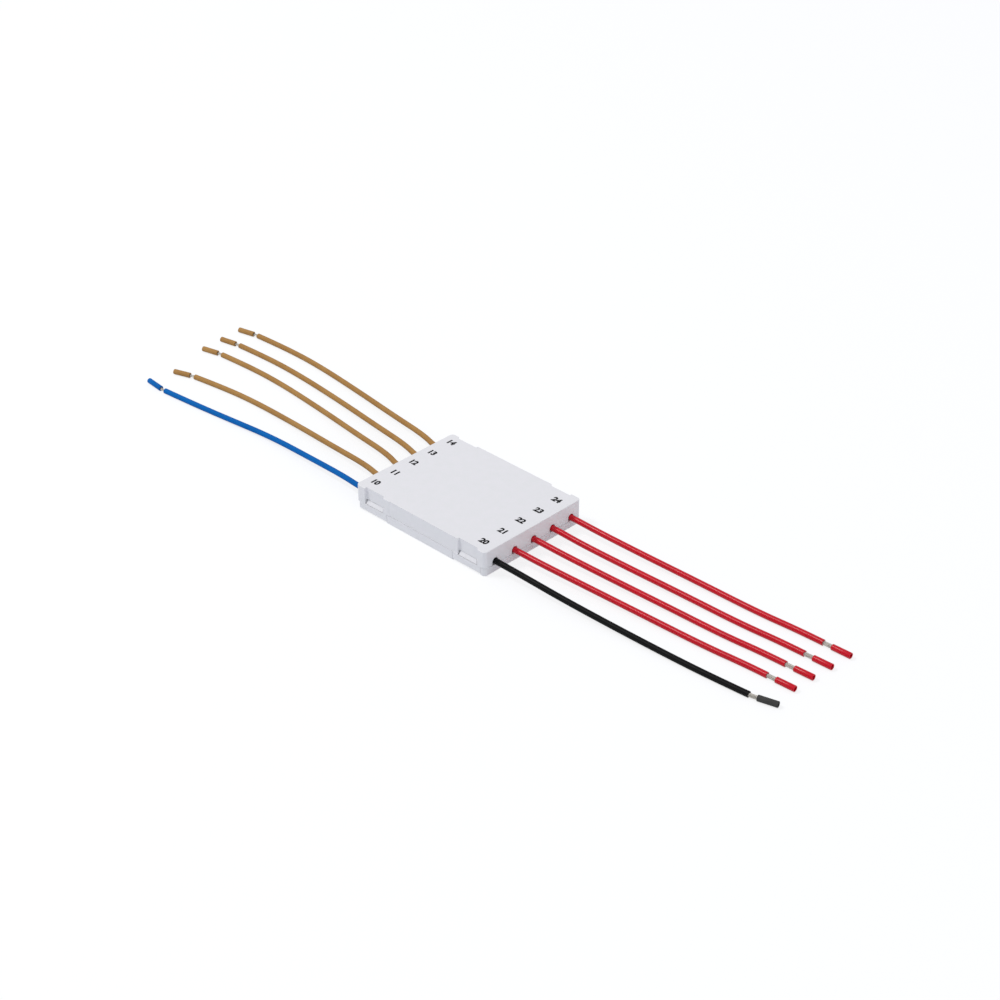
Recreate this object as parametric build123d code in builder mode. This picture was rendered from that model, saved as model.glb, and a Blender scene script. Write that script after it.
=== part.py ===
from build123d import *
import math
import os

# Four-channel decoupler: a flat snap-together housing with five mains-side leads leaving one
# end and five low-voltage leads leaving the other, and an opto-isolated circuit board inside.
# Millimetres. +X runs towards the low-voltage leads, +Y along the rows of leads and +Z up.
# The origin is the centre of the housing's underside.

# Housing
housing_length = 47.5
housing_width = 35.8
housing_height = 7.25
corner_radius = 1.1
top_edge_radius = 0.15
foot_chamfer = 0.2
roof_thickness = 1.0
floor_thickness = 1.0
end_wall = 1.2
side_wall = 1.5
seam = 0.07
skirt_lift = 0.3
band_wrap = 1.6
band_flange = 0.25
band_setback = 0.9
band_wall = 0.6
panel_length = 24.5
panel_height = 2.6
panel_thickness = 1.3
waist_inset = 0.12
waist_ramp = 0.6
waist_end = 11.4

# Snap latches, one near each corner on the long sides
latch_start = 14.0
latch_width = 6.5
latch_recess = 0.75
latch_ramp = 0.7
latch_sill = 2.4
latch_head = 3.6
window_inset = 0.25
lug_gap = 0.12
lug_square_gap = 0.37
lug_slant_gap = 0.1
tongue_thickness = 1.0
tongue_height = 4.2

# Leads
row_margin = 3.8
lead_height = 3.3
input_lead_diameter = 1.55
output_lead_diameter = 1.65
input_conductor_diameter = 0.7
output_conductor_diameter = 1.1
running_gap = 0.03
exit_diameter = 2.0
tip_recess = 1.0
comb_gap = 0.55
comb_thickness = 0.7
comb_clearance = 0.05
bare_gap = {"brown": 1.8, "blue": 1.95, "red": 2.6, "black": 2.3}
sleeve_length = {"brown": 5.4, "blue": 6.15, "red": 5.5, "black": 5.35}

# Circuit board
board_thickness = 1.0
board_gap = 0.125
board_end_gap = 0.3
board_side_gap = 0.3
board_corner = 0.8
slot_width = 1.0
slot_length = 5.4
peg_diameter = 1.4
peg_clearance = 0.05
peg_height = 0.5
boss_diameter = 2.4
post_diameter = 1.6
post_gap = 0.05
pad_length = 3.0
pad_width = 1.9
pad_thickness = 0.05
pad_inset = 2.4
insulation_overlap = 0.7

# Solder joints
solder_length = 2.6
solder_width = 1.7
solder_cover = 0.2
solder_taper = 12
conductor_overlap = 0.5

# Optocouplers
opto_length = 6.5
opto_width = 4.6
opto_standoff = 0.15
opto_head_gap = 0.45
opto_draft = 6
opto_dot = 0.8
opto_dot_depth = 0.1
leg_thickness = 0.25
leg_width = 0.6
leg_pitch = 2.54
leg_knee = 0.7
leg_foot = 1.15

# Chip parts: length over the terminals, width and height
resistor_size = (3.2, 1.6, 0.6)
capacitor_size = (2.0, 1.25, 1.25)
small_resistor_size = (2.0, 1.25, 0.5)
diode_size = (2.7, 1.6, 1.1)
terminal_length = 0.4
diode_tab = (0.5, 0.8, 0.15)
chip_gap = 0.4
series_resistors = 3
output_start = 7.6
diode_offset = 3.3
diode_setback = 8.5

# Places that follow from the sizes
half_length = housing_length / 2
half_width = housing_width / 2
inner_x = half_length - end_wall
inner_y = half_width - side_wall
band_starts = {-1: half_length - band_setback - band_flange, 1: half_length - band_wrap}
base_ends = {-1: half_length - band_setback - band_wall, 1: inner_x}
parting_height = lead_height - exit_diameter / 2
ceiling = housing_height - roof_thickness
latch_centre = latch_start + latch_width / 2
tongue_y = inner_y - seam
lead_radii = {-1: input_lead_diameter / 2, 1: output_lead_diameter / 2}
conductor_radii = {-1: input_conductor_diameter / 2, 1: output_conductor_diameter / 2}
lead_pitch = (housing_width - 2 * row_margin) / 4
comb_end = inner_x - comb_gap
board_half_length = comb_end - comb_thickness - board_end_gap
board_half_width = tongue_y - tongue_thickness - board_side_gap
board_top = lead_height - max(lead_radii.values()) - board_gap
board_bottom = board_top - board_thickness
pad_x = board_half_length - pad_inset
insulation_start = board_half_length - insulation_overlap
conductor_start = pad_x - solder_length / 2 + conductor_overlap
row_y = [row * lead_pitch for row in range(-2, 3)]
channel_y = row_y[1:]
support_y = 1.5 * lead_pitch
peg_y = 0.5 * lead_pitch
corners = [(x, y) for x in (-1, 1) for y in (-1, 1)]
lug_width = latch_width - lug_square_gap - window_inset - lug_slant_gap
lug_slant = latch_ramp * (1 - lug_gap / latch_recess)
# Each latch: its long side, and the square and the slanted end of its recess
latches = [
    (y, x * latch_centre + y * latch_width / 2, x * latch_centre - y * latch_width / 2) for x, y in corners
]

# Routes of the leads beyond the first bend: forward of the housing's end, sideways towards +Y
# from the lead's own row, and height. They come down from the exit and lie on the table.
# The last figure of each lead turns its stripped tip, in degrees towards +Y.
first_bend = 2.5
lead_routes = {
    "blue_lead": ("blue", -1, 0, 5.5, [
        (10, 0.85, 3.1), (24, 1.8, 2.2), (42, 2.65, 1.25), (60, 1.0, 0.85), (72, -0.2, 0.8), (83.7, -1.15, 0.8),
    ]),
    "brown_lead_1": ("brown", -1, 1, -18.5, [
        (10, 1.85, 3.1), (24, 3.15, 2.2), (42, 4.85, 1.25), (60, 5.5, 0.85), (73, 4.6, 0.8), (83.85, 2.95, 0.8),
    ]),
    "brown_lead_2": ("brown", -1, 2, -13, [
        (10, 2.75, 3.1), (24, 5.05, 2.2), (42, 8.15, 1.25), (62, 10.5, 0.85), (77, 10.8, 0.8), (88.35, 9.95, 0.8),
    ]),
    "brown_lead_3": ("brown", -1, 3, -11, [
        (10, 2.45, 3.1), (24, 4.9, 2.2), (42, 8.1, 1.25), (62, 10.45, 0.85), (77, 10.95, 0.8), (88.95, 10.2, 0.8),
    ]),
    "brown_lead_4": ("brown", -1, 4, -12.5, [
        (10, 2.5, 3.1), (24, 5.0, 2.2), (42, 8.35, 1.25), (62, 11.05, 0.85), (77, 11.6, 0.8), (89.65, 10.85, 0.8),
    ]),
    "black_lead": ("black", 1, 0, 15, [
        (10, 0.1, 3.1), (24, 0.65, 2.2), (42, 1.8, 1.25), (60, 2.65, 0.9), (72, 3.45, 0.85), (79.1, 4.05, 0.85),
    ]),
    "red_lead_1": ("red", 1, 1, 3, [
        (10, 0.25, 3.1), (24, 1.75, 2.2), (42, 3.45, 1.25), (60, 4.45, 0.9), (71, 5.6, 0.85), (77.5, 5.85, 0.85),
    ]),
    "red_lead_2": ("red", 1, 2, 3, [
        (10, 0.15, 3.1), (24, 1.45, 2.2), (42, 3.15, 1.25), (60, 4.0, 0.9), (71, 5.15, 0.85), (77.9, 5.35, 0.85),
    ]),
    "red_lead_3": ("red", 1, 3, 2.5, [
        (10, -0.1, 3.1), (24, 1.15, 2.2), (42, 2.8, 1.25), (60, 3.5, 0.9), (72, 4.6, 0.85), (78.55, 4.75, 0.85),
    ]),
    "red_lead_4": ("red", 1, 4, 2, [
        (10, 0.0, 3.1), (24, 1.15, 2.2), (42, 2.65, 1.25), (60, 3.25, 0.9), (72, 4.3, 0.85), (79.05, 4.45, 0.85),
    ]),
}


os.makedirs("parts", exist_ok=True)


def save(piece, name):
    """Label a finished piece and write it as parts/name.step."""
    piece.part.label = name
    export_step(piece.part, f"parts/{name}.step")


# Base shell: floor, end bands, side panels, latch tongues, lead combs and board bosses
with BuildPart() as base_shell:
    # The band at the input end stands back from the cover's end wall
    with BuildSketch():
        with Locations((band_setback / 2, 0)):
            RectangleRounded(housing_length - band_setback, housing_width, corner_radius)
    extrude(amount=panel_height - seam / 2)
    chamfer(base_shell.faces().sort_by(Axis.Z)[0].edges(), foot_chamfer)
    # The end bands stop at the parting line, level with the bottom of the lead exits
    for side, band_start in band_starts.items():
        wall_start = min(band_start, base_ends[side])
        with BuildSketch(Plane.XY.offset(parting_height - seam / 2)):
            with Locations((side * (wall_start + half_length) / 2, 0)):
                Rectangle(half_length - wall_start + 2 * seam, housing_width)
        extrude(amount=panel_height, mode=Mode.SUBTRACT)
    # The cover's skirt stands in these four places
    skirt_from = panel_length / 2 - seam / 2
    with BuildSketch():
        for x, y in corners:
            skirt_to = band_starts[x] + seam / 2
            with Locations((x * (skirt_from + skirt_to) / 2, y * (tongue_y + half_width) / 2)):
                Rectangle(skirt_to - skirt_from, half_width - tongue_y)
    extrude(amount=panel_height, mode=Mode.SUBTRACT)
    # Inside of the shell
    with BuildSketch(Plane.XY.offset(floor_thickness)):
        with Locations(((base_ends[1] - base_ends[-1]) / 2, 0)):
            Rectangle(base_ends[-1] + base_ends[1], 2 * (half_width - panel_thickness))
    extrude(amount=panel_height, mode=Mode.SUBTRACT)
    # Combs with a saddle for each lead
    with BuildSketch(Plane.XY.offset(floor_thickness)):
        for side in (-1, 1):
            with Locations((side * (comb_end - comb_thickness / 2), 0)):
                Rectangle(comb_thickness, 4 * lead_pitch + exit_diameter + 2 * comb_thickness)
    extrude(amount=lead_height - floor_thickness)
    for side in (-1, 1):
        with BuildSketch(Plane.YZ.offset(side * comb_end)):
            with Locations(*[(y, lead_height) for y in row_y]):
                Circle(lead_radii[side] + comb_clearance)
        extrude(amount=-side * comb_thickness, mode=Mode.SUBTRACT)
    # Bosses under the board, and two pegs that locate it
    with BuildSketch(Plane.XY.offset(floor_thickness)):
        with Locations(*[(x * pad_x, y * support_y) for x, y in corners]):
            Circle(boss_diameter / 2)
        with Locations((-pad_x, peg_y), (pad_x, -peg_y)):
            Circle(boss_diameter / 2)
    extrude(amount=board_bottom - floor_thickness)
    with BuildSketch(Plane.XY.offset(floor_thickness)):
        with Locations((-pad_x, peg_y), (pad_x, -peg_y)):
            Circle(peg_diameter / 2)
    extrude(amount=board_top + peg_height - floor_thickness)
    # Latch tongues, each with a lug: a ramp on top and a square hook below
    with BuildSketch(Plane.XY.offset(floor_thickness)):
        for y, square_end, _ in latches:
            tongue_x = square_end - y * (lug_square_gap + lug_width / 2)
            with Locations((tongue_x, y * (tongue_y - tongue_thickness / 2))):
                Rectangle(lug_width, tongue_thickness)
    extrude(amount=tongue_height - floor_thickness)
    for y, square_end, _ in latches:
        with BuildSketch(Plane.YZ.offset(square_end - y * lug_square_gap)):
            with BuildLine():
                Polyline(
                    (y * tongue_y, latch_sill + lug_gap),
                    (y * (half_width - lug_gap), latch_sill + lug_gap),
                    (y * (half_width - latch_recess), latch_head - lug_gap),
                    (y * tongue_y, latch_head - lug_gap),
                    close=True,
                )
            make_face()
        extrude(amount=-y * (lug_width + lug_slant))
    # One end of each lug slants outwards beside the slanted end of the cover's recess
    with BuildSketch(Plane.XY.offset(latch_sill)):
        for y, square_end, _ in latches:
            lug_end = square_end - y * (lug_square_gap + lug_width)
            lug_tip = lug_end - y * lug_slant
            with BuildLine():
                Polyline(
                    (lug_end, y * tongue_y),
                    (lug_end, y * (half_width - latch_recess)),
                    (lug_tip, y * (half_width - lug_gap)),
                    (lug_tip, y * tongue_y),
                    close=True,
                )
            make_face()
    extrude(amount=latch_head - latch_sill, mode=Mode.SUBTRACT)
save(base_shell, "base_shell")

# Cover shell: roof, end walls with lead exits, skirt with latch windows, and hold-down posts.
# Its skirt ends a little above the underside.
with BuildPart() as cover_shell:
    with BuildSketch(Plane.XY.offset(skirt_lift)):
        RectangleRounded(housing_length, housing_width, corner_radius)
    extrude(amount=housing_height - skirt_lift)
    fillet(cover_shell.faces().sort_by(Axis.Z)[-1].edges(), top_edge_radius)
    chamfer(cover_shell.faces().sort_by(Axis.Z)[0].edges(), foot_chamfer)
    with BuildSketch():
        Rectangle(2 * inner_x, 2 * inner_y)
    extrude(amount=ceiling, mode=Mode.SUBTRACT)
    # Room for the base's end bands, and for its end walls between the skirts
    with BuildSketch():
        for side, band_start in band_starts.items():
            with Locations((side * (band_start - seam / 2 + half_length) / 2, 0)):
                Rectangle(half_length - band_start + seam / 2, housing_width)
            with Locations((side * (inner_x + half_length) / 2, 0)):
                Rectangle(end_wall, 2 * inner_y)
    extrude(amount=parting_height + seam / 2, mode=Mode.SUBTRACT)
    # Notches for the base's side panels
    with BuildSketch():
        Rectangle(panel_length + seam, housing_width)
    extrude(amount=panel_height + seam / 2, mode=Mode.SUBTRACT)
    # Latches: an open recess above each window, the window, and a channel inside the sill.
    # One end of each recess is square and the other slants out to the side face. Beside the lug
    # the recess is shorter by the window's inset.
    for bottom, top, inset in ((latch_sill, latch_head, window_inset), (latch_head, housing_height, 0)):
        with BuildSketch(Plane.XY.offset(bottom)):
            for y, square_end, slanted_end in latches:
                deep_end = slanted_end + y * inset
                with BuildLine():
                    Polyline(
                        (square_end, y * half_width),
                        (square_end, y * (half_width - latch_recess)),
                        (deep_end, y * (half_width - latch_recess)),
                        (deep_end - y * latch_ramp, y * half_width),
                        close=True,
                    )
                make_face()
        extrude(amount=top - bottom, mode=Mode.SUBTRACT)
    with BuildSketch():
        for y, square_end, slanted_end in latches:
            window_x = (square_end + slanted_end + y * window_inset) / 2
            with Locations((window_x, y * (inner_y + half_width - latch_recess) / 2)):
                Rectangle(latch_width - window_inset, side_wall - latch_recess)
    extrude(amount=latch_head, mode=Mode.SUBTRACT)
    # Lead exits: a round top and straight sides down to the parting line
    with BuildSketch(Plane.YZ.offset(-half_length)):
        for y in row_y:
            with Locations((y, lead_height)):
                Circle(exit_diameter / 2)
            with Locations((y, lead_height - exit_diameter / 4)):
                Rectangle(exit_diameter, exit_diameter / 2)
    extrude(amount=housing_length, mode=Mode.SUBTRACT)
    # The middle of each long side stands slightly back, from the strap beside one latch to the other
    with BuildSketch(Plane.XY.offset(panel_height + seam / 2)):
        for side in (-1, 1):
            with BuildLine():
                Polyline(
                    (-side * latch_start, side * half_width),
                    (-side * latch_start, side * (half_width - waist_inset)),
                    (side * (waist_end - waist_ramp), side * (half_width - waist_inset)),
                    (side * waist_end, side * half_width),
                    close=True,
                )
            make_face()
    extrude(amount=housing_height - panel_height, mode=Mode.SUBTRACT)
    # Posts that hold the board down on its bosses
    with BuildSketch(Plane.XY.offset(board_top + post_gap)):
        with Locations(*[(x * pad_x, y * support_y) for x, y in corners]):
            Circle(post_diameter / 2)
    extrude(amount=ceiling - board_top - post_gap)
save(cover_shell, "cover_shell")

# Circuit board, with a milled isolation slot under each optocoupler
with BuildPart() as circuit_board:
    with BuildSketch(Plane.XY.offset(board_bottom)):
        RectangleRounded(2 * board_half_length, 2 * board_half_width, board_corner)
        with Locations(*[(0, y) for y in channel_y]):
            SlotOverall(slot_length, slot_width, rotation=90, mode=Mode.SUBTRACT)
        with Locations((-pad_x, peg_y), (pad_x, -peg_y)):
            Circle(peg_diameter / 2 + peg_clearance, mode=Mode.SUBTRACT)
    extrude(amount=board_thickness)
save(circuit_board, "circuit_board")

# Copper pads for the ten leads
pad_places = [(side * pad_x, y) for side in (-1, 1) for y in row_y]
with BuildPart() as lead_pads:
    with BuildSketch(Plane.XY.offset(board_top)):
        with Locations(*pad_places):
            Rectangle(pad_length, pad_width)
    extrude(amount=pad_thickness)
save(lead_pads, "lead_pads")

# Solder joints, each around the end of its conductor
with BuildPart() as solder_joints:
    solder_foot = board_top + pad_thickness
    with BuildSketch(Plane.XY.offset(solder_foot)):
        with Locations(*pad_places):
            RectangleRounded(solder_length, solder_width, solder_width / 3)
    solder_head = lead_height + max(conductor_radii.values()) + solder_cover
    extrude(amount=solder_head - solder_foot, taper=solder_taper)
    for side, radius in conductor_radii.items():
        with BuildSketch(Plane.YZ.offset(side * conductor_start)):
            with Locations(*[(y, lead_height) for y in row_y]):
                Circle(radius + running_gap)
        extrude(amount=side * pad_length, mode=Mode.SUBTRACT)
save(solder_joints, "solder_joints")

# Optocouplers, one for each channel
opto_height = ceiling - opto_head_gap - board_top - opto_standoff
opto_middle = board_top + opto_standoff + opto_height / 2
for channel, y in enumerate(channel_y, start=1):
    with BuildPart() as optocoupler:
        with BuildSketch(Plane.XY.offset(opto_middle)) as opto_outline:
            with Locations((0, y)):
                Rectangle(opto_length, opto_width)
        extrude(amount=opto_height / 2, taper=opto_draft)
        extrude(opto_outline.sketch, amount=-opto_height / 2, taper=opto_draft)
        with BuildSketch(Plane.XY.offset(opto_middle + opto_height / 2)):
            with Locations((opto_dot - opto_length / 2 + opto_dot, y + opto_width / 2 - 2 * opto_dot)):
                Circle(opto_dot / 2)
        extrude(amount=-opto_dot_depth, mode=Mode.SUBTRACT)
    save(optocoupler, f"optocoupler_{channel}")

# Legs of the optocouplers, bent down and out to the board
with BuildPart() as optocoupler_legs:
    leg_root = opto_length / 2
    knee = leg_root + leg_knee
    foot = knee + leg_foot
    half_leg = leg_thickness / 2
    for side in (-1, 1):
        for y in [place + step * leg_pitch / 2 for place in channel_y for step in (-1, 1)]:
            with BuildSketch(Plane.XZ.offset(-y)):
                with BuildLine():
                    Polyline(
                        (side * leg_root, opto_middle + half_leg),
                        (side * (knee + half_leg), opto_middle + half_leg),
                        (side * (knee + half_leg), board_top + leg_thickness),
                        (side * foot, board_top + leg_thickness),
                        (side * foot, board_top),
                        (side * (knee - half_leg), board_top),
                        (side * (knee - half_leg), opto_middle - half_leg),
                        (side * leg_root, opto_middle - half_leg),
                        close=True,
                    )
                make_face()
            extrude(amount=leg_width / 2, both=True)
save(optocoupler_legs, "optocoupler_legs")


def chip_bodies(places, size, name):
    """Write the bodies of a set of two-ended chip parts lying along X on the board."""
    length, width, height = size
    with BuildPart() as bodies:
        with BuildSketch(Plane.XY.offset(board_top)):
            with Locations(*places):
                Rectangle(length - 2 * terminal_length, width)
        extrude(amount=height)
    save(bodies, name)


# Chip parts in a row along each channel: series resistors, then the output capacitor and resistor
pad_edge = pad_x - pad_length / 2
resistor_length = resistor_size[0]
resistor_x = [
    chip_gap - pad_edge + resistor_length / 2 + number * (resistor_length + chip_gap)
    for number in range(series_resistors)
]
capacitor_x = output_start + capacitor_size[0] / 2
small_resistor_x = output_start + capacitor_size[0] + chip_gap + small_resistor_size[0] / 2
resistor_places = [(x, y) for y in channel_y for x in resistor_x]
capacitor_places = [(capacitor_x, y) for y in channel_y]
small_resistor_places = [(small_resistor_x, y) for y in channel_y]
chip_bodies(resistor_places, resistor_size, "series_resistors")
chip_bodies(capacitor_places, capacitor_size, "smoothing_capacitors")
chip_bodies(small_resistor_places, small_resistor_size, "output_resistors")

# Tinned terminals on both ends of the chip parts
with BuildPart() as chip_terminals:
    chip_sets = [
        (resistor_places, resistor_size),
        (capacitor_places, capacitor_size),
        (small_resistor_places, small_resistor_size),
    ]
    for places, (length, width, height) in chip_sets:
        with BuildSketch(Plane.XY.offset(board_top)):
            for x, y in places:
                for side in (-1, 1):
                    with Locations((x + side * (length - terminal_length) / 2, y)):
                        Rectangle(terminal_length, width)
        extrude(amount=height)
save(chip_terminals, "chip_terminals")

# Diodes beside the chip rows, on the input and the output side
diode_length, diode_width, diode_height = diode_size
tab_length, tab_width, tab_height = diode_tab
diode_sets = {
    "input_diodes": [(-diode_setback, y - diode_offset) for y in channel_y],
    "output_diodes": [(diode_setback, y - diode_offset) for y in channel_y],
}
for name, places in diode_sets.items():
    with BuildPart() as diodes:
        with BuildSketch(Plane.XY.offset(board_top)):
            with Locations(*places):
                Rectangle(diode_length, diode_width)
        extrude(amount=diode_height)
    save(diodes, name)
with BuildPart() as diode_tabs:
    with BuildSketch(Plane.XY.offset(board_top)):
        for x, y in diode_sets["input_diodes"] + diode_sets["output_diodes"]:
            for side in (-1, 1):
                with Locations((x + side * (diode_length + tab_length) / 2, y)):
                    Rectangle(tab_length, tab_width)
    extrude(amount=tab_height)
save(diode_tabs, "diode_tabs")


def corner_radii(points):
    """Return the bend radius at each inner point: 0.45 of the shorter run over tan(half turn)."""
    runs = [end - start for start, end in zip(points, points[1:])]
    radii = []
    for before, after in zip(runs, runs[1:]):
        half_turn = math.radians(before.get_angle(after)) / 2
        radii.append(0.45 * min(before.length, after.length) / math.tan(half_turn))
    return radii


def tube(points, radii, outer, bore):
    """Sweep a round section, with a bore unless that is 0, along straight runs and arcs."""
    with BuildPart() as piece:
        with BuildLine():
            path = FilletPolyline(*points, radius=radii)
        with BuildSketch(Plane(origin=path @ 0, z_dir=path % 0)):
            Circle(outer)
            if bore:
                Circle(bore, mode=Mode.SUBTRACT)
        sweep(path=path)
    expected = math.pi * (outer**2 - bore**2) * path.length
    return piece, path.length, piece.part.volume / expected


# Leads: insulation, conductor and the end sleeve that still covers the stripped tip
for name, (colour, side, row, tip_turn, route) in lead_routes.items():
    y = row_y[row]
    start = Vector(side * insulation_start, y, lead_height)
    bends = [(first_bend, 0, lead_height)] + route
    points = [start] + [Vector(side * (half_length + ahead), y + across, z) for ahead, across, z in bends]
    radii = corner_radii(points)
    bore = conductor_radii[side] + running_gap
    insulation, length, fill = tube(points, radii, lead_radii[side], bore)
    save(insulation, f"{name}_insulation")
    print(name, "length", round(length, 1), "radii", [round(r, 1) for r in radii], "fill", round(fill, 4))

    # The conductor runs on from the insulation, bends in the bare gap and ends inside the sleeve
    gap = bare_gap[colour]
    last_run = (points[-1] - points[-2]).normalized()
    turn = math.radians(tip_turn)
    tip_way = Vector(side * math.cos(turn), math.sin(turn), 0)
    bend = points[-1] + last_run * (gap / 2)
    sleeve_start = bend + tip_way * (gap / 2)
    tip = sleeve_start + tip_way * (sleeve_length[colour] - tip_recess)
    core = [Vector(side * conductor_start, y, lead_height)] + points[1:-1] + [bend, tip]
    bend_radius = 0.45 * gap / math.tan(math.radians(last_run.get_angle(tip_way)) / 2)
    conductor, length, fill = tube(core, radii + [bend_radius], conductor_radii[side], 0)
    save(conductor, f"{name}_conductor")
    print("  conductor", round(length, 1), "bend", round(bend_radius, 1), "fill", round(fill, 4))

    with BuildPart() as end_sleeve:
        with BuildSketch(Plane(origin=sleeve_start, z_dir=tip_way)):
            Circle(lead_radii[side])
            Circle(bore, mode=Mode.SUBTRACT)
        extrude(amount=sleeve_length[colour])
    save(end_sleeve, f"{name}_end_sleeve")
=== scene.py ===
"""Looks of the four-channel decoupler: a flat white snap-together housing with five leads at each end.

Every place is in the row frame: +X runs to the output leads, +Y along the rows of leads, +Z up, and
the origin is the centre of the housing's underside. Sizes are in millimetres, and become metres
where a mesh or a curve is made.
"""

import logging
import math
from dataclasses import dataclass, field
from enum import Enum
from typing import Any

import bpy
from mathutils import Matrix, Vector


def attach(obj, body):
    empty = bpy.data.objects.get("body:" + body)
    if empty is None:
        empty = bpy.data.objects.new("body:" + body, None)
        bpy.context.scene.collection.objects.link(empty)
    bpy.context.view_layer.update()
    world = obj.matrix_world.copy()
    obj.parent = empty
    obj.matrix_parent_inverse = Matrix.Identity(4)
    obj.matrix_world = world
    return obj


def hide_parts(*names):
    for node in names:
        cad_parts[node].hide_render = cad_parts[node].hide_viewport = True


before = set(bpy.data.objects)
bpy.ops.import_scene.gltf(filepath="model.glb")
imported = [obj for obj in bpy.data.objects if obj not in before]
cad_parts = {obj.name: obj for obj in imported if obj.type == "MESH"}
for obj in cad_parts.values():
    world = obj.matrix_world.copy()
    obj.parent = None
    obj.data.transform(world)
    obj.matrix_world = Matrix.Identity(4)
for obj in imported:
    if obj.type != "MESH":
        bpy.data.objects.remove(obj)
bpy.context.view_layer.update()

MM = 0.001
ROOT = "decoupler"
Inputs = dict[str, Any] | dict[int, Any]
log = logging.getLogger("decoupler")


class End(Enum):
    """The two ends of the housing, as the way along X that their leads take."""

    INPUT = -1
    OUTPUT = 1


class Relief(Enum):
    """How a surface was made, which sets the pattern of its fine relief."""

    SPARK_ERODED = "the even grain of a spark-eroded mould"
    DRAWN = "long faint ripples over the lay of the strands below"
    CAST = "the soft dimples of something that set from liquid"
    SMOOTH = "hardly any relief"


def linear(colour: str) -> tuple[float, float, float, float]:
    """Turns an sRGB colour to the linear one that a shader takes.

    Args:
        colour: Six hex digits after a hash sign.

    Returns:
        Red, green and blue, with an alpha of 1.
    """
    parts = [int(colour[i : i + 2], 16) / 255 for i in (1, 3, 5)]
    red, green, blue = (c / 12.92 if c <= 0.04045 else ((c + 0.055) / 1.055) ** 2.4 for c in parts)
    return red, green, blue, 1.0


def add_node(
    tree: bpy.types.NodeTree, kind: str, inputs: Inputs | None = None, **settings: Any
) -> bpy.types.Node:
    """Adds one node with its settings, its values and its links.

    Args:
        tree: The node tree that gets the node.
        kind: The node's type, such as ShaderNodeTexNoise.
        inputs: For each input by name or number, a value or the output socket that feeds it.
        settings: Settings of the node itself, such as operation.

    Returns:
        The new node.
    """
    node = tree.nodes.new(kind)
    for name, value in settings.items():
        setattr(node, name, value)
    for name, value in (inputs or {}).items():
        if isinstance(value, bpy.types.NodeSocket):
            tree.links.new(value, node.inputs[name])
        else:
            node.inputs[name].default_value = value
    return node


def clear_selection() -> None:
    """Goes to object mode with nothing selected, since operators act on all that is selected."""
    if bpy.context.object and bpy.context.object.mode != "OBJECT":
        bpy.ops.object.mode_set(mode="OBJECT")
    bpy.ops.object.select_all(action="DESELECT")


def settle(piece: bpy.types.Object, place: Matrix) -> bpy.types.Object:
    """Puts a finished piece in its place and moves that place into its mesh.

    Args:
        piece: The finished mesh object, wherever it was modelled.
        place: Where it goes, in metres.

    Returns:
        The same object, now at the origin, unturned and unscaled.
    """
    clear_selection()
    piece.select_set(True)
    bpy.context.view_layer.objects.active = piece
    piece.matrix_world = place @ piece.matrix_world
    bpy.ops.object.transform_apply(location=True, rotation=True, scale=True)
    return piece


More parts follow.
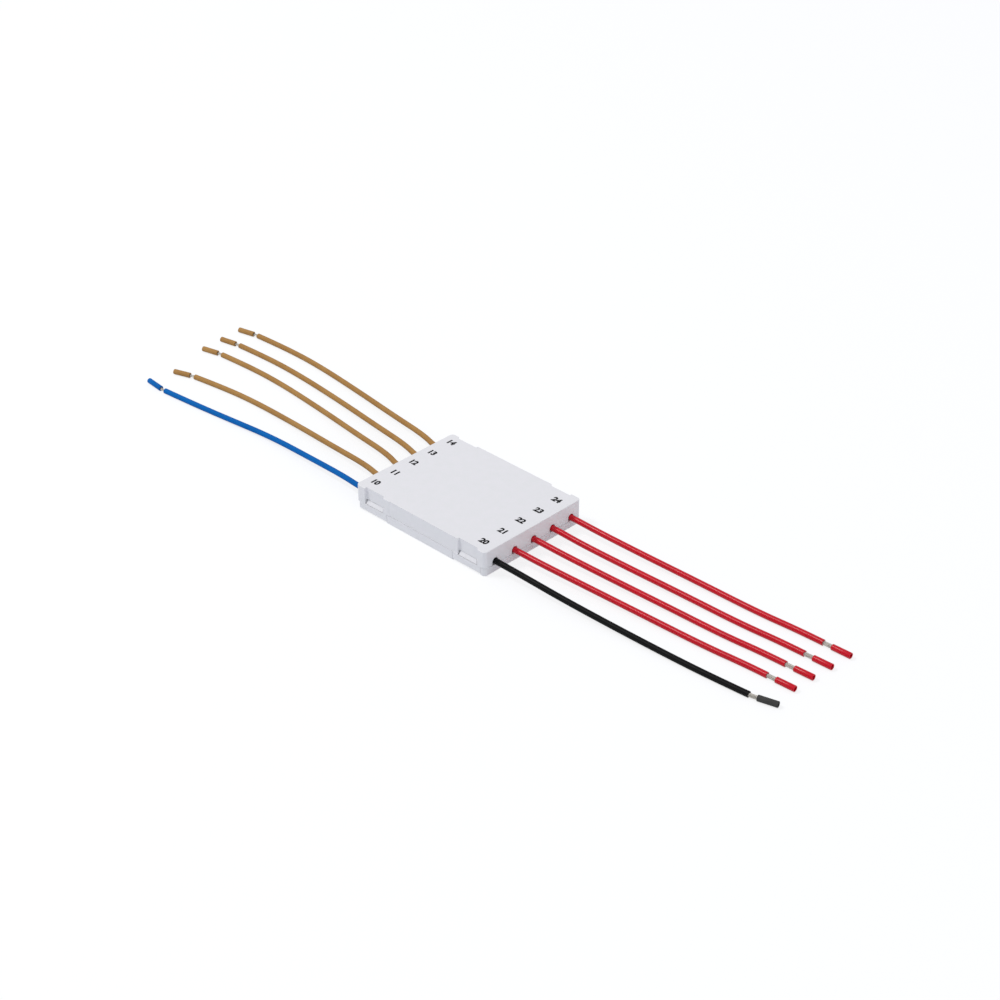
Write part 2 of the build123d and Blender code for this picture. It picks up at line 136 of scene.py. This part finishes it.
@dataclass(frozen=True)
class Finish:
    """A material named for the real one, with the patterns that its making gave it.

    The colour drifts to the shade in clouds of shade_mm, and the roughness in smaller ones. The
    relief is relief_mm wide, the lay of the strands below comes every lay_mm, and edges look eased
    to edge_mm. Nearly all of a noise texture lies in cloud_band, which is spread out to the whole
    range, and a wave texture turns through wave_radians in one unit.
    """

    name: str
    colour: str
    shade: str
    shade_mm: float
    roughness: tuple[float, float]
    relief: Relief
    relief_mm: float
    relief_depth_mm: float
    metal: bool = False
    ior: float = 1.5
    specular: float = 0.5
    lay_mm: float = 0.0
    lay_depth_mm: float = 0.0
    edge_mm: float = 0.0
    cloud_band: tuple[float, float] = (0.35, 0.65)
    cloud_detail: float = 3.0
    roughness_clouds: float = 1 / 3
    drawn_stretch: float = 0.15
    eroded_detail: float = 4.0
    soft_detail: float = 1.5
    grain_roughness: float = 0.6
    edge_samples: int = 6
    lay_waver: float = 0.4
    wave_radians: float = 10.0

    def clouds(
        self, tree: bpy.types.NodeTree, place: bpy.types.NodeSocket, size_mm: float, low: float, high: float
    ) -> bpy.types.NodeSocket:
        """Adds soft clouds that run from one value to another.

        Args:
            tree: The material's node tree.
            place: The coordinates that the clouds are read at.
            size_mm: About how large one cloud is.
            low: The value in the thin parts.
            high: The value in the thick parts.

        Returns:
            The value socket.
        """
        pattern = {"Vector": place, "Scale": 1 / (size_mm * MM), "Detail": self.cloud_detail}
        noise = add_node(tree, "ShaderNodeTexNoise", pattern)
        spread = {"Value": noise.outputs["Fac"], "To Min": low, "To Max": high}
        spread["From Min"], spread["From Max"] = self.cloud_band
        return add_node(tree, "ShaderNodeMapRange", spread).outputs["Result"]

    def normal(self, tree: bpy.types.NodeTree, place: bpy.types.NodeSocket) -> bpy.types.NodeSocket:
        """Adds the fine relief, and the lay of the strands where the finish lies over them.

        Args:
            tree: The material's node tree.
            place: The object coordinates in metres.

        Returns:
            The bent normal.
        """
        stretch = self.drawn_stretch if self.relief is Relief.DRAWN else 1.0
        along = add_node(tree, "ShaderNodeMapping", {"Vector": place, "Scale": (stretch, 1.0, 1.0)})
        pattern = {"Vector": along.outputs["Vector"], "Scale": 1 / (self.relief_mm * MM)}
        pattern["Detail"] = self.eroded_detail if self.relief is Relief.SPARK_ERODED else self.soft_detail
        pattern["Roughness"] = self.grain_roughness
        grain = add_node(tree, "ShaderNodeTexNoise", pattern)
        bend = {"Height": grain.outputs["Fac"], "Distance": self.relief_depth_mm * MM}
        if self.edge_mm:
            radius = {"Radius": self.edge_mm * MM}
            eased = add_node(tree, "ShaderNodeBevel", radius, samples=self.edge_samples)
            bend["Normal"] = eased.outputs["Normal"]
        relief = add_node(tree, "ShaderNodeBump", bend).outputs["Normal"]
        if not self.lay_mm:
            return relief
        turns = {"Vector": place, "Scale": math.tau / (self.wave_radians * self.lay_mm * MM)}
        turns |= {"Distortion": self.lay_waver, "Detail": 0.0}
        lay = add_node(tree, "ShaderNodeTexWave", turns, bands_direction="DIAGONAL")
        over = {"Height": lay.outputs["Fac"], "Distance": self.lay_depth_mm * MM, "Normal": relief}
        return add_node(tree, "ShaderNodeBump", over).outputs["Normal"]

    def material(self) -> bpy.types.Material:
        """Builds the material, unless it is built already.

        Returns:
            The material, which every piece of this finish shares.
        """
        made = bpy.data.materials.get(self.name)
        if made:
            return made
        made = bpy.data.materials.new(self.name)
        made.use_nodes = True
        tree = made.node_tree
        shader = tree.nodes["Principled BSDF"]
        place = add_node(tree, "ShaderNodeTexCoord").outputs["Object"]
        blend = {"Factor": self.clouds(tree, place, self.shade_mm, 0.0, 1.0)}
        blend |= {"A": linear(self.colour), "B": linear(self.shade)}
        colour = add_node(tree, "ShaderNodeMix", blend, data_type="RGBA")
        tree.links.new(colour.outputs["Result"], shader.inputs["Base Color"])
        finer_mm = self.shade_mm * self.roughness_clouds
        shine = self.clouds(tree, place, finer_mm, *self.roughness)
        tree.links.new(shine, shader.inputs["Roughness"])
        tree.links.new(self.normal(tree, place), shader.inputs["Normal"])
        shader.inputs["Metallic"].default_value = 1.0 if self.metal else 0.0
        if not self.metal:
            shader.inputs["IOR"].default_value = self.ior
            shader.inputs["Specular IOR Level"].default_value = self.specular
        return made


# A cool white with a soft satin sheen and edges never quite sharp. The mould's real grain is about
# 0.03 mm wide, and is drawn at 0.14 mm, as coarse as it needs to show.
HOUSING = Finish(
    "moulded_polycarbonate", "#EBEBEF", "#E9EAED", 2.5, (0.46, 0.54),
    Relief.SPARK_ERODED, 0.14, 0.002, ior=1.58, edge_mm=0.08,
)
# The drawn skins below have ripples 0.3 mm wide from the die. The strands in them press ridges into
# the skin every 0.8 mm, which are drawn 3.8 mm apart, as coarse as they need to show.
#
# A dry light brown with hardly any shine.
BROWN_PVC = Finish(
    "extruded_brown_pvc", "#B2884F", "#AA7F48", 4.0, (0.5, 0.6),
    Relief.DRAWN, 0.3, 0.004, ior=1.53, specular=0.12, lay_mm=3.8, lay_depth_mm=0.004,
)
# A strong clean blue with a faint sheen along the top.
BLUE_PVC = Finish(
    "extruded_blue_pvc", "#0067B8", "#0061B0", 4.0, (0.42, 0.52),
    Relief.DRAWN, 0.3, 0.004, ior=1.53, specular=0.07, lay_mm=3.8, lay_depth_mm=0.004,
)
# A deep glossy red, whose highlight wavers a little where the strands below press on the skin.
RED_PVC = Finish(
    "extruded_red_pvc", "#CE0020", "#C6001D", 4.0, (0.24, 0.28),
    Relief.DRAWN, 0.3, 0.0008, ior=1.53, specular=0.27, lay_mm=3.8, lay_depth_mm=0.0008,
)
# A soft black that stays dark from every side.
BLACK_PVC = Finish(
    "extruded_black_pvc", "#121213", "#0E0E0F", 4.0, (0.4, 0.5),
    Relief.DRAWN, 0.3, 0.004, ior=1.53, specular=0.08, lay_mm=3.8, lay_depth_mm=0.004,
)
# The cut piece on the black lead, in a lighter dark grey copy of the black skin: painted sheen that stands
# in for the light the sleeve catches.
BLACK_PVC_PAINTED_SHEEN = Finish(
    "black_pvc_painted_sheen", "#454544", "#3C3C3B", 2.0, (0.5, 0.6),
    Relief.DRAWN, 0.2, 0.006, ior=1.53, specular=0.12,
)
# Soft grey wires with a thin oxide over the tin.
TINNED_STRAND = Finish(
    "tinned_copper_strand", "#CBC8C1", "#B4B0A8", 0.9, (0.42, 0.55),
    Relief.DRAWN, 0.08, 0.0015, metal=True,
)
# Flat black ink, a little uneven on the grain of the plastic.
INK = Finish(
    "screen_printed_ink", "#0A0A0B", "#131315", 0.5, (0.6, 0.75),
    Relief.SPARK_ERODED, 0.14, 0.002, specular=0.2,
)
# Glossy green with the weave of the glass just felt through the mask.
LAMINATE = Finish(
    "solder_masked_laminate", "#1E6B3A", "#1A5C31", 3.0, (0.22, 0.32),
    Relief.CAST, 0.5, 0.01, ior=1.55,
)
# Warm bare foil.
COPPER = Finish(
    "copper_foil", "#CB8152", "#B97246", 0.8, (0.28, 0.42),
    Relief.SMOOTH, 0.2, 0.002, metal=True,
)
# Bright metal with soft dimples, as solder sets.
SOLDER = Finish(
    "set_solder", "#D8D8D6", "#C6C6C4", 0.7, (0.2, 0.34),
    Relief.CAST, 0.4, 0.02, metal=True,
)
# Near-black with a dry fine grain.
EPOXY = Finish(
    "moulded_epoxy", "#262628", "#1E1E20", 1.5, (0.55, 0.68),
    Relief.SPARK_ERODED, 0.1, 0.003,
)
# Black glaze over the ceramic.
GLAZE = Finish(
    "glazed_resistor_ceramic", "#2B2B31", "#222228", 0.8, (0.18, 0.28),
    Relief.SMOOTH, 0.3, 0.001,
)
# Dry tan ceramic with no glaze.
CERAMIC = Finish(
    "bare_capacitor_ceramic", "#AF906A", "#A0825F", 0.7, (0.5, 0.62),
    Relief.CAST, 0.15, 0.003,
)


def dress(piece: bpy.types.Object, finish: Finish) -> None:
    """Gives a piece one finish all over.

    Args:
        piece: A mesh or curve object.
        finish: The finish of its surface.
    """
    piece.data.materials.clear()
    piece.data.materials.append(finish.material())


@dataclass(frozen=True)
class Housing:
    """The two moulded shells, whose shape is the CAD model's own."""

    shells: tuple[str, ...] = ("base_shell", "cover_shell")

    def build(self) -> None:
        """Dresses both shells in moulded plastic."""
        for name in self.shells:
            dress(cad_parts[name], HOUSING)
            log.info("dressed %s", name)


@dataclass(frozen=True)
class Electronics:
    """The board and the parts on it, sealed in the housing."""

    board: tuple[str, ...] = ("circuit_board",)
    pads: tuple[str, ...] = ("lead_pads",)
    optocouplers: tuple[str, ...] = ("optocoupler_1", "optocoupler_2", "optocoupler_3", "optocoupler_4")
    diodes: tuple[str, ...] = ("input_diodes", "output_diodes")
    tinned: tuple[str, ...] = ("solder_joints", "optocoupler_legs", "chip_terminals", "diode_tabs")
    resistors: tuple[str, ...] = ("series_resistors", "output_resistors")
    capacitors: tuple[str, ...] = ("smoothing_capacitors",)

    def build(self) -> None:
        """Dresses every sealed part in its own finish."""
        finishes = {
            self.board: LAMINATE,
            self.pads: COPPER,
            self.optocouplers + self.diodes: EPOXY,
            self.tinned: SOLDER,
            self.resistors: GLAZE,
            self.capacitors: CERAMIC,
        }
        for names, finish in finishes.items():
            for name in names:
                dress(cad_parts[name], finish)
                log.info("dressed %s", name)


@dataclass(frozen=True)
class RoofNumbers:
    """Plain numbers printed on the roof, one beside each lead.

    The letters are made raw_thickness thick, and are then pressed flat to the ink's own thickness.
    """

    height: float = 2.1
    ink: float = 0.012
    boldness: float = 0.055
    raw_thickness: float = 0.5
    roof: float = 7.25
    input_x: float = -20.4
    output_x: float = 19.65
    input_y: tuple[float, ...] = (-13.7, -6.8, 0.2, 7.1, 14.4)
    output_y: tuple[float, ...] = (-13.9, -7.2, -0.45, 6.2, 13.1)

    def number(self, text: str, x: float, y: float) -> bpy.types.Object:
        """Prints one number flat on the roof.

        Args:
            text: The digits.
            x: The middle of the number along X.
            y: The middle of the number along Y.

        Returns:
            The number as a thin mesh of ink.
        """
        clear_selection()
        bpy.ops.object.text_add()
        letters = bpy.context.object.data
        letters.body = text
        letters.offset = self.boldness
        letters.extrude = self.raw_thickness
        bpy.ops.object.convert(target="MESH")
        made = bpy.context.object
        made.name = f"number_{text}"
        xs, ys, zs = zip(*(vertex.co for vertex in made.data.vertices))
        scale = self.height / (max(ys) - min(ys)) * MM
        depth = self.ink / (max(zs) - min(zs)) * MM
        middle = Vector(((max(xs) + min(xs)) / 2, (max(ys) + min(ys)) / 2, min(zs)))
        size = Matrix.Diagonal((scale, scale, depth, 1.0))
        place = Matrix.Translation(Vector((x, y, self.roof)) * MM)
        settle(made, place @ size @ Matrix.Translation(-middle))
        dress(made, INK)
        return made

    def build(self) -> None:
        """Prints the numbers of both ends."""
        for tens, x, rows in ((10, self.input_x, self.input_y), (20, self.output_x, self.output_y)):
            for step, y in enumerate(rows):
                piece = self.number(str(tens + step), x, y)
                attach(piece, ROOT)
                log.info("printed %s", piece.name)


@dataclass(frozen=True)
class Wire:
    """What the leads of one colour have in common."""

    colour: str
    finish: Finish
    diameter: float
    conductor: float
    bare_gap: float
    sleeve: float
    sleeve_finish: Finish


BROWN = Wire("brown", BROWN_PVC, 1.55, 0.7, 1.8, 5.4, BROWN_PVC)
BLUE = Wire("blue", BLUE_PVC, 1.55, 0.7, 1.95, 6.15, BLUE_PVC)
RED = Wire("red", RED_PVC, 1.65, 1.1, 2.6, 5.5, RED_PVC)
# The black lead's sleeve wears the lighter grey copy of its skin, whose grey is painted sheen.
BLACK = Wire("black", BLACK_PVC, 1.65, 1.1, 2.3, 5.35, BLACK_PVC_PAINTED_SHEEN)


@dataclass
class EndSleeves:
    """The short cut pieces of insulation on the stripped tips, modelled once for each colour.

    The bore is wider than the conductor by the play, and the cut edges are eased by cut_edge. A face
    whose normal points along the tube by more than end_facing is one of its ends.
    """

    play: float = 0.06
    cut_edge: float = 0.09
    cut_steps: int = 3
    cut_angle: float = 50.0
    smooth_angle: float = 35.0
    end_facing: float = 0.9
    sides: int = 40
    models: dict[str, bpy.types.Object] = field(default_factory=dict)

    def model(self, wire: Wire) -> bpy.types.Object:
        """Cuts a tube of the wire's own size, standing on its end at the origin.

        Args:
            wire: The colour of lead that it belongs to.

        Returns:
            The tube, open at both ends, with its cut edges eased.
        """
        clear_selection()
        radius, length = wire.diameter / 2 * MM, wire.sleeve * MM
        bpy.ops.mesh.primitive_cylinder_add(
            vertices=self.sides, radius=radius, depth=length, location=(0, 0, length / 2)
        )
        made = bpy.context.object
        bpy.ops.object.mode_set(mode="EDIT")
        bpy.ops.mesh.select_mode(type="FACE")
        bpy.ops.mesh.select_all(action="DESELECT")
        bpy.ops.object.mode_set(mode="OBJECT")
        for face in made.data.polygons:
            face.select = abs(face.normal.z) > self.end_facing
        bpy.ops.object.mode_set(mode="EDIT")
        bore = (wire.conductor + self.play) * MM
        bpy.ops.mesh.inset(thickness=radius - bore / 2, use_individual=True)
        bpy.ops.mesh.bridge_edge_loops()
        bpy.ops.object.mode_set(mode="OBJECT")
        eased = made.modifiers.new("eased_cut", "BEVEL")
        eased.width = self.cut_edge * MM
        eased.segments = self.cut_steps
        eased.limit_method = "ANGLE"
        eased.angle_limit = math.radians(self.cut_angle)
        bpy.ops.object.modifier_apply(modifier=eased.name)
        bpy.ops.object.shade_smooth_by_angle(angle=math.radians(self.smooth_angle))
        dress(made, wire.sleeve_finish)
        return made

    def fit(self, wire: Wire, name: str, start: Vector, way: Vector) -> bpy.types.Object:
        """Sets one sleeve on a stripped tip.

        Args:
            wire: The colour of lead.
            name: The name of the new piece.
            start: Where the sleeve begins.
            way: The direction that it points in.

        Returns:
            A copy of the colour's model with its own mesh, in its place.
        """
        if wire.colour not in self.models:
            self.models[wire.colour] = self.model(wire)
        made = self.models[wire.colour].copy()
        made.data = made.data.copy()
        made.name = name
        bpy.context.scene.collection.objects.link(made)
        turn = way.to_track_quat("Z", "Y").to_matrix().to_4x4()
        return settle(made, Matrix.Translation(start * MM) @ turn)

    def put_away(self) -> None:
        """Deletes the models once every lead has its copy."""
        for piece in self.models.values():
            bpy.data.objects.remove(piece)
        self.models.clear()


@dataclass(frozen=True)
class Lead:
    """One lead: insulation, twisted strands and the sleeve on the stripped tip.

    The route lists points beyond the first bend: how far out from the housing's end, how far
    towards +Y from the lead's own row, and the height. The strands lie in layers round a middle
    one, and go once round in each lay.
    """

    name: str
    wire: Wire
    end: End
    row: float
    tip_turn: float
    route: tuple[tuple[float, float, float], ...]
    layers: tuple[int, ...] = (1, 6, 12)
    lay: float = 10.0
    tip_recess: float = 1.0
    exit_height: float = 3.3
    housing_end: float = 23.75
    first_bend: float = 2.5
    insulation_start: float = 20.3
    conductor_start: float = 17.8
    line_steps: int = 16
    skin_roundness: int = 8
    strand_roundness: int = 2

    @property
    def points(self) -> list[Vector]:
        """The control points of the insulation's line.

        Returns:
            The points from inside the housing to the insulation's end.
        """
        way = self.end.value
        inside = Vector((way * self.insulation_start, self.row, self.exit_height))
        bends = ((self.first_bend, 0.0, self.exit_height), *self.route)
        outside = [Vector((way * (self.housing_end + out), self.row + side, z)) for out, side, z in bends]
        return [inside, *outside]

    @property
    def tip_way(self) -> Vector:
        """The direction of the stripped tip."""
        turn = math.radians(self.tip_turn)
        return Vector((self.end.value * math.cos(turn), math.sin(turn), 0.0))

    @property
    def bend(self) -> Vector:
        """The middle of the bare gap, where the strands bend."""
        before, last = self.points[-2:]
        return last + (last - before).normalized() * (self.wire.bare_gap / 2)

    @property
    def sleeve_start(self) -> Vector:
        """Where the sleeve begins."""
        return self.bend + self.tip_way * (self.wire.bare_gap / 2)

    def line(self, name: str, points: list[Vector]) -> bpy.types.Object:
        """Lays one smooth curve through the room that the points give.

        Args:
            name: The object's name.
            points: The control points.

        Returns:
            A curve object of one open spline.
        """
        curve = bpy.data.curves.new(name, "CURVE")
        curve.dimensions = "3D"
        curve.resolution_u = self.line_steps
        spline = curve.splines.new("NURBS")
        spline.points.add(len(points) - 1)
        for control, point in zip(spline.points, points):
            control.co = (*(point * MM), 1.0)
        spline.order_u = 3
        spline.use_endpoint_u = True
        made = bpy.data.objects.new(name, curve)
        bpy.context.scene.collection.objects.link(made)
        return made

    def read_line(self, points: list[Vector]) -> list[Vector]:
        """Reads the places along a smooth curve, in metres.

        Args:
            points: The control points.

        Returns:
            The places from end to end.
        """
        guide = self.line("guide", points)
        mesh = bpy.data.meshes.new_from_object(guide.evaluated_get(bpy.context.evaluated_depsgraph_get()))
        places = [vertex.co.copy() for vertex in mesh.vertices]
        bpy.data.meshes.remove(mesh)
        bpy.data.objects.remove(guide)
        return places

    def insulation(self) -> bpy.types.Object:
        """Draws the coloured skin along the route.

        Returns:
            The skin, as one smooth round curve with closed ends.
        """
        made = self.line(f"{self.name}_skin", self.points)
        made.data.bevel_depth = self.wire.diameter / 2 * MM
        made.data.bevel_resolution = self.skin_roundness
        made.data.use_fill_caps = True
        dress(made, self.wire.finish)
        return made

    def wind(self, curve: bpy.types.Curve, centre: list[Vector], away: float, start: float) -> None:
        """Winds one strand round the middle line.

        Args:
            curve: The curve that gets the strand as one more spline.
            centre: The places along the middle line, in metres.
            away: How far from the middle line the strand lies, in metres.
            start: Where round the middle line it starts, as a share of a turn.
        """
        spline = curve.splines.new("POLY")
        spline.points.add(len(centre) - 1)
        run = 0.0
        for index, place in enumerate(centre):
            before, after = centre[max(index - 1, 0)], centre[min(index + 1, len(centre) - 1)]
            run += (place - before).length
            ahead = (after - before).normalized()
            turn = Matrix.Rotation(math.tau * (run / (self.lay * MM) + start), 3, ahead)
            out = turn @ ahead.cross(Vector((0, 0, 1))).normalized() * away
            spline.points[index].co = (*(place + out), 1.0)

    def twisted_strands(self) -> bpy.types.Object:
        """Twists the layers of strands, from the solder joint to inside the sleeve.

        Returns:
            The strands, as one curve object.
        """
        inner = Vector((self.end.value * self.conductor_start, self.row, self.exit_height))
        tip = self.sleeve_start + self.tip_way * (self.wire.sleeve - self.tip_recess)
        centre = self.read_line([inner, *self.points[1:], self.bend, self.sleeve_start, tip])
        curve = bpy.data.curves.new(f"{self.name}_strands", "CURVE")
        curve.dimensions = "3D"
        strand = self.wire.conductor / (2 * len(self.layers) - 1) * MM
        curve.bevel_depth = strand / 2
        curve.bevel_resolution = self.strand_roundness
        curve.use_fill_caps = True
        for layer, count in enumerate(self.layers):
            for number in range(count):
                self.wind(curve, centre, strand * layer, number / count)
        made = bpy.data.objects.new(curve.name, curve)
        bpy.context.scene.collection.objects.link(made)
        dress(made, TINNED_STRAND)
        return made

    def build(self, sleeves: EndSleeves) -> None:
        """Args:
            sleeves: The models that the lead's end sleeve is copied from.
        """
        skin = self.insulation()
        strands = self.twisted_strands()
        sleeve = sleeves.fit(self.wire, f"{self.name}_tip", self.sleeve_start, self.tip_way)
        pieces = (
            (skin, "insulation", ROOT, f"{self.wire.colour}_pvc"),
            (strands, "conductor", ROOT, "tinned_copper"),
            (sleeve, "end_sleeve", f"{self.name}_end_sleeve", f"{self.wire.colour}_pvc"),
        )
        for piece, node, body, slot in pieces:
            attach(piece, body)
            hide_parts(f"{self.name}_{node}")
        places = self.read_line(self.points)


@dataclass(frozen=True)
class LeadSet:
    """All ten leads, each with the route that it takes on the table."""

    pitch: float = 7.05

    def leads(self) -> list[Lead]:
        """Lists the five input leads and the five output leads, row by row from -Y.

        Returns:
            The ten leads.
        """
        rows = [step * self.pitch for step in range(-2, 3)]
        return [
            Lead("blue_lead", BLUE, End.INPUT, rows[0], 5.5, (
                (10, 0.85, 3.1), (24, 1.8, 2.2), (42, 2.65, 1.25),
                (60, 1.0, 0.85), (72, -0.2, 0.8), (83.7, -1.15, 0.8),
            )),
            Lead("brown_lead_1", BROWN, End.INPUT, rows[1], -18.5, (
                (10, 1.85, 3.1), (24, 3.15, 2.2), (42, 4.85, 1.25),
                (60, 5.5, 0.85), (73, 4.6, 0.8), (83.85, 2.95, 0.8),
            )),
            Lead("brown_lead_2", BROWN, End.INPUT, rows[2], -13, (
                (10, 2.75, 3.1), (24, 5.05, 2.2), (42, 8.15, 1.25),
                (62, 10.5, 0.85), (77, 10.8, 0.8), (88.35, 9.95, 0.8),
            )),
            Lead("brown_lead_3", BROWN, End.INPUT, rows[3], -11, (
                (10, 2.45, 3.1), (24, 4.9, 2.2), (42, 8.1, 1.25),
                (62, 10.45, 0.85), (77, 10.95, 0.8), (88.95, 10.2, 0.8),
            )),
            Lead("brown_lead_4", BROWN, End.INPUT, rows[4], -12.5, (
                (10, 2.5, 3.1), (24, 5.0, 2.2), (42, 8.35, 1.25),
                (62, 11.05, 0.85), (77, 11.6, 0.8), (89.65, 10.85, 0.8),
            )),
            Lead("black_lead", BLACK, End.OUTPUT, rows[0], 15, (
                (10, 0.1, 3.1), (24, 0.65, 2.2), (42, 1.8, 1.25),
                (60, 2.65, 0.9), (72, 3.45, 0.85), (79.1, 4.05, 0.85),
            )),
            Lead("red_lead_1", RED, End.OUTPUT, rows[1], 3, (
                (10, 0.25, 3.1), (24, 1.75, 2.2), (42, 3.45, 1.25),
                (60, 4.45, 0.9), (71, 5.6, 0.85), (77.5, 5.85, 0.85),
            )),
            Lead("red_lead_2", RED, End.OUTPUT, rows[2], 3, (
                (10, 0.15, 3.1), (24, 1.45, 2.2), (42, 3.15, 1.25),
                (60, 4.0, 0.9), (71, 5.15, 0.85), (77.9, 5.35, 0.85),
            )),
            Lead("red_lead_3", RED, End.OUTPUT, rows[3], 2.5, (
                (10, -0.1, 3.1), (24, 1.15, 2.2), (42, 2.8, 1.25),
                (60, 3.5, 0.9), (72, 4.6, 0.85), (78.55, 4.75, 0.85),
            )),
            Lead("red_lead_4", RED, End.OUTPUT, rows[4], 2, (
                (10, 0.0, 3.1), (24, 1.15, 2.2), (42, 2.65, 1.25),
                (60, 3.25, 0.9), (72, 4.3, 0.85), (79.05, 4.45, 0.85),
            )),
        ]

    def build(self) -> None:
        """Builds every lead with its end sleeve."""
        sleeves = EndSleeves()
        for lead in self.leads():
            lead.build(sleeves)
        sleeves.put_away()


@dataclass(frozen=True)
class Studio:
    """The pale table, the soft light and the camera at the photograph's viewing angle.

    The camera's places and the table's drop are in millimetres. The sizes of the lamps and the
    table, how far the lamps hang, and how far the camera sees are in metres. The room is the
    strength of the even light from all round.
    """

    camera_place: tuple[float, float, float] = (357.64, -355.88, 326.99)
    camera_aim: tuple[float, float, float] = (5.475, 6.421, 4.0)
    lens: float = 82.083
    sensor: float = 36.0
    seen_from: float = 0.01
    seen_to: float = 20.0
    room: float = 0.67
    room_colour: str = "#F9FAFF"
    softbox_way: tuple[float, float, float] = (-0.44, -0.34, 0.84)
    lamp_away: float = 1.2
    softbox_size: float = 0.3
    softbox_power: float = 4.9
    lamp_colour: str = "#FFFCF8"
    fill_way: tuple[float, float, float] = (1.0, -0.1, 0.15)
    fill_size: float = 0.9
    fill_power: float = 2.15
    table_size: float = 6.0
    table_drop: float = 0.01
    table_colour: str = "#D5D9DF"
    table_roughness: float = 0.9
    table_glow: float = 1.19
    glow_colour: str = "#FFFFFF"
    shadow_kept: float = 0.34

    def build_camera(self) -> None:
        """Sets the camera."""
        clear_selection()
        bpy.ops.object.camera_add(location=Vector(self.camera_place) * MM)
        camera = bpy.context.object
        way = Vector(self.camera_aim) - Vector(self.camera_place)
        camera.rotation_euler = way.to_track_quat("-Z", "Y").to_euler()
        camera.data.lens = self.lens
        camera.data.sensor_width = self.sensor
        camera.data.clip_start = self.seen_from
        camera.data.clip_end = self.seen_to
        bpy.context.scene.camera = camera

    def hang_lamp(self, way: tuple[float, float, float], size: float, power: float) -> None:
        """Hangs one round soft lamp that points at the object.

        Args:
            way: The direction from the object to the lamp.
            size: The lamp's diameter in metres.
            power: Its power in watts.
        """
        clear_selection()
        place = Vector(way).normalized() * self.lamp_away
        bpy.ops.object.light_add(type="AREA", location=place)
        lamp = bpy.context.object
        lamp.data.shape = "DISK"
        lamp.data.size = size
        lamp.data.energy = power
        lamp.data.color = linear(self.lamp_colour)[:3]
        lamp.rotation_euler = (-place).to_track_quat("-Z", "Y").to_euler()

    def build_light(self) -> None:
        """Hangs a softbox high behind the input leads and a wide weak fill beyond the output leads."""
        self.hang_lamp(self.softbox_way, self.softbox_size, self.softbox_power)
        self.hang_lamp(self.fill_way, self.fill_size, self.fill_power)
        world = bpy.data.worlds.new("pale_room")
        world.use_nodes = True
        background = world.node_tree.nodes["Background"]
        background.inputs["Color"].default_value = linear(self.room_colour)
        background.inputs["Strength"].default_value = self.room
        bpy.context.scene.world = world

    def build_table(self) -> None:
        """Lays the pale table: white to the eye and in reflections, but it keeps the object's shadow."""
        clear_selection()
        bpy.ops.mesh.primitive_plane_add(size=self.table_size)
        table = settle(bpy.context.object, Matrix.Translation((0, 0, -self.table_drop * MM)))
        table.name = "table"
        made = bpy.data.materials.new("white_paper")
        made.use_nodes = True
        tree = made.node_tree
        shader = tree.nodes["Principled BSDF"]
        shader.inputs["Base Color"].default_value = linear(self.table_colour)
        shader.inputs["Roughness"].default_value = self.table_roughness
        shader.inputs["Specular IOR Level"].default_value = 0.0
        ray = add_node(tree, "ShaderNodeLightPath").outputs
        either = {0: ray["Is Camera Ray"], 1: ray["Is Glossy Ray"]}
        seen = add_node(tree, "ShaderNodeMath", either, operation="MAXIMUM")
        share = {0: seen.outputs[0], 1: 1 - self.shadow_kept}
        pale = add_node(tree, "ShaderNodeMath", share, operation="MULTIPLY")
        white = {"Color": linear(self.glow_colour), "Strength": self.table_glow}
        glow = add_node(tree, "ShaderNodeEmission", white)
        both = {0: pale.outputs[0], 1: shader.outputs[0], 2: glow.outputs[0]}
        blend = add_node(tree, "ShaderNodeMixShader", both)
        tree.links.new(blend.outputs[0], tree.nodes["Material Output"].inputs["Surface"])
        table.data.materials.append(made)

    def build(self) -> None:
        """Builds the studio."""
        self.build_camera()
        self.build_light()
        self.build_table()
        bpy.context.scene.view_settings.view_transform = "Standard"
        log.info("set the camera, the light and the table")


def main() -> None:
    """Builds the studio and the object's looks in order."""
    logging.basicConfig(level=logging.INFO, format="%(name)s: %(message)s")
    Studio().build()
    LeadSet().build()
    Housing().build()
    Electronics().build()
    RoofNumbers().build()


if __name__ == "__main__":
    main()
